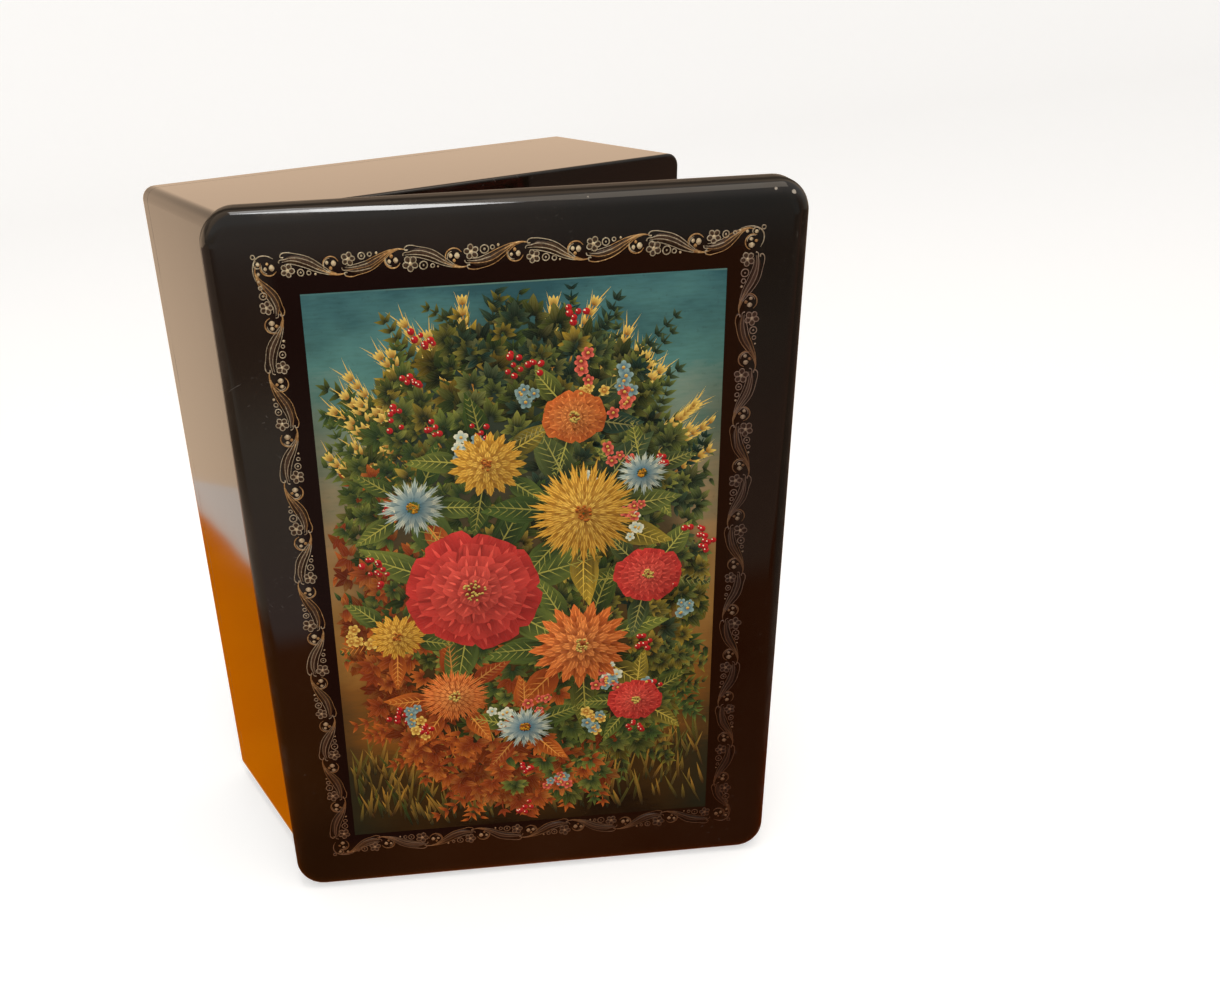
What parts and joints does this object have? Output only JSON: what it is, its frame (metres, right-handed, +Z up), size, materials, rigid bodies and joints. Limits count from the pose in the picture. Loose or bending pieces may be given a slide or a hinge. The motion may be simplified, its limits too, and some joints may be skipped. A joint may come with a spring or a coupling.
{
  "type": "lacquer box",
  "caption": "Glossy black lacquered pasteboard box standing on its short end, with a rounded overhanging lid that swings on concealed knuckle hinges along one long side.",
  "frame": {"origin": "middle of the box's lower end face, on which it stands", "axes": "+Z up along the hinge side, -Y towards the lid, +X from the hinge side to the free side"},
  "size_m": [0.1397, 0.1271, 0.195],
  "materials": {
    "black_lacquer": "polished",
    "red_lacquer": "gloss",
    "pin_wire": "satin",
    "gold_paint": "satin",
    "painted_panel": "gloss"
  },
  "bodies": {
    "box": {"wall_ring": "black_lacquer", "bottom_board": "black_lacquer", "lower_body_knuckle_a": "black_lacquer", "lower_body_knuckle_b": "black_lacquer", "lower_hinge_pin": "pin_wire", "upper_body_knuckle_a": "black_lacquer", "upper_body_knuckle_b": "black_lacquer", "upper_hinge_pin": "pin_wire"},
    "lid": {"lid_board": "black_lacquer", "lid_lip_hinge_side": "red_lacquer", "lid_lip_free_side": "red_lacquer", "lid_lip_upper_end": "red_lacquer", "lid_lip_lower_end": "red_lacquer", "lower_lid_knuckle": "black_lacquer", "upper_lid_knuckle": "black_lacquer"}
  },
  "joints": [
    {"name": "lid_hinge", "type": "hinge", "parent": "box", "child": "lid", "pos_m": [-0.0678, -0.03008, 0.095], "axis": [0, 0, -1], "range_deg": [-26, 64]}
  ]
}
